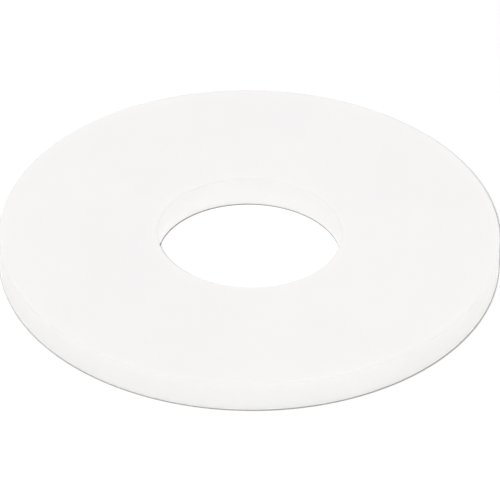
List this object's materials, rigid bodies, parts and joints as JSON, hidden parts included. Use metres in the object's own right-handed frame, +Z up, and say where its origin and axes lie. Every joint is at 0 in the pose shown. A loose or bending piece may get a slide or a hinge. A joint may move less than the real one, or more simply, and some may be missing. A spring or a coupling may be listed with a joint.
{
  "type": "toilet tank gasket",
  "caption": "Thick flat ring gasket of white silicone rubber with a plain round bore, flat sealing faces and barely rounded rims.",
  "frame": {"origin": "centre of the ring's lower sealing face, on the axis of the bore", "axes": "+Z up along the axis of the bore, from the lower sealing face to the upper one; the ring is round, so +X and +Y are any two square directions in its plane"},
  "size_m": [0.0624, 0.0624, 0.0041],
  "materials": {
    "silicone": "satin"
  },
  "bodies": {
    "root": {"gasket": "silicone"}
  },
  "joints": []
}
